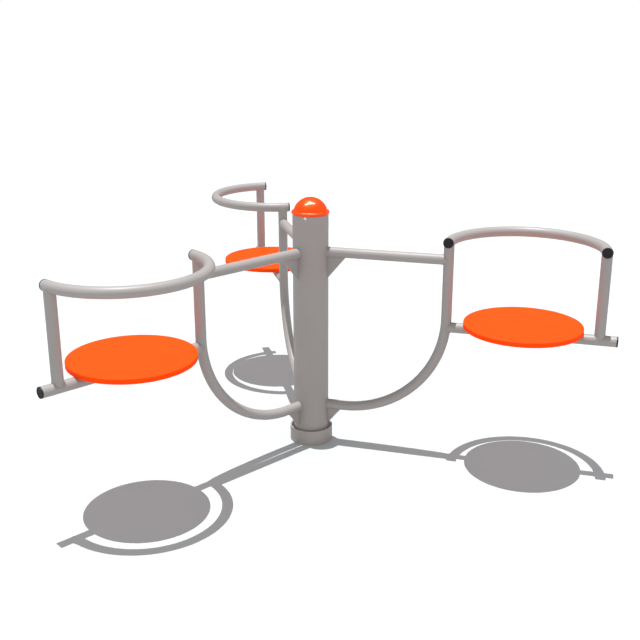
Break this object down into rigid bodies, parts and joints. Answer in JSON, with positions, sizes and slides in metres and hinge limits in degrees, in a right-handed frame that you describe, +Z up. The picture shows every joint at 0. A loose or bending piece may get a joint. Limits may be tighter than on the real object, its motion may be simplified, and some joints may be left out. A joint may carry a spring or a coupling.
{
  "type": "merry-go-round",
  "caption": "Spinning playground merry-go-round: a central column turns on a fixed base, with radial tube arms, round flat seats and curved hand rails.",
  "frame": {"origin": "on the spindle's axis, at the underside of the base plate, on the ground", "axes": "+Z up along the spindle; +X along arm 1; arms 2 and 3 at 120 and 240 degrees, counter-clockwise from above"},
  "size_m": [1.5163, 1.6664, 0.8184],
  "materials": {
    "powder_grey": "smooth semi-gloss grey powder coat",
    "seat_orange": "satin orange moulded panel",
    "cap_orange": "glossy orange moulded plastic",
    "plug_black": "matt black moulded plastic",
    "machined_steel": "turned and ground steel",
    "zinc_fastener": "bright zinc-plated steel",
    "seal_rubber": "matt black rubber"
  },
  "bodies": {
    "base": {"base_plate": "powder_grey", "base_ring": "powder_grey", "spindle": "machined_steel", "lock_washer": "zinc_fastener", "lock_nut": "zinc_fastener", "lower_bearing_inner_race": "machined_steel", "upper_bearing_inner_race": "machined_steel"},
    "rotor": {"column_tube": "powder_grey", "lower_housing": "machined_steel", "upper_housing": "machined_steel", "lower_circlip": "machined_steel", "upper_circlip": "machined_steel", "lower_seal": "seal_rubber", "dome_cap": "cap_orange", "cap_screws": "zinc_fastener", "lower_bearing_outer_race": "machined_steel", "upper_bearing_outer_race": "machined_steel", "upper_arm_1": "powder_grey", "lower_arm_1": "powder_grey", "seat_bar_1": "powder_grey", "outer_upright_1": "powder_grey", "hand_rail_1": "powder_grey", "upper_gusset_1": "powder_grey", "lower_gusset_1": "powder_grey", "seat_lugs_1": "powder_grey", "seat_1": "seat_orange", "seat_bolts_1": "zinc_fastener", "rail_plugs_1": "plug_black", "bar_plug_1": "plug_black", "upper_arm_2": "powder_grey", "lower_arm_2": "powder_grey", "seat_bar_2": "powder_grey", "outer_upright_2": "powder_grey", "hand_rail_2": "powder_grey", "upper_gusset_2": "powder_grey", "lower_gusset_2": "powder_grey", "seat_lugs_2": "powder_grey", "seat_2": "seat_orange", "seat_bolts_2": "zinc_fastener", "rail_plugs_2": "plug_black", "bar_plug_2": "plug_black", "upper_arm_3": "powder_grey", "lower_arm_3": "powder_grey", "seat_bar_3": "powder_grey", "outer_upright_3": "powder_grey", "hand_rail_3": "powder_grey", "upper_gusset_3": "powder_grey", "lower_gusset_3": "powder_grey", "seat_lugs_3": "powder_grey", "seat_3": "seat_orange", "seat_bolts_3": "zinc_fastener", "rail_plugs_3": "plug_black", "bar_plug_3": "plug_black"},
    "lower_ball_set": {"lower_bearing_balls": "machined_steel", "lower_bearing_cage": "machined_steel"},
    "upper_ball_set": {"upper_bearing_balls": "machined_steel", "upper_bearing_cage": "machined_steel"}
  },
  "joints": [
    {"name": "rotor_spin", "type": "hinge", "parent": "base", "child": "rotor", "pos_m": [0, 0, 0], "axis": [0, 0, 1], "continuous": true},
    {"name": "lower_ball_set_spin", "type": "hinge", "parent": "base", "child": "lower_ball_set", "pos_m": [0, 0, 0.082], "axis": [0, 0, 1], "continuous": true},
    {"name": "upper_ball_set_spin", "type": "hinge", "parent": "base", "child": "upper_ball_set", "pos_m": [0, 0, 0.649], "axis": [0, 0, 1], "continuous": true}
  ],
  "couplings": [
    {"joint": "lower_ball_set_spin", "follows": "rotor_spin", "ratio": 0.5907},
    {"joint": "upper_ball_set_spin", "follows": "rotor_spin", "ratio": 0.5992}
  ]
}
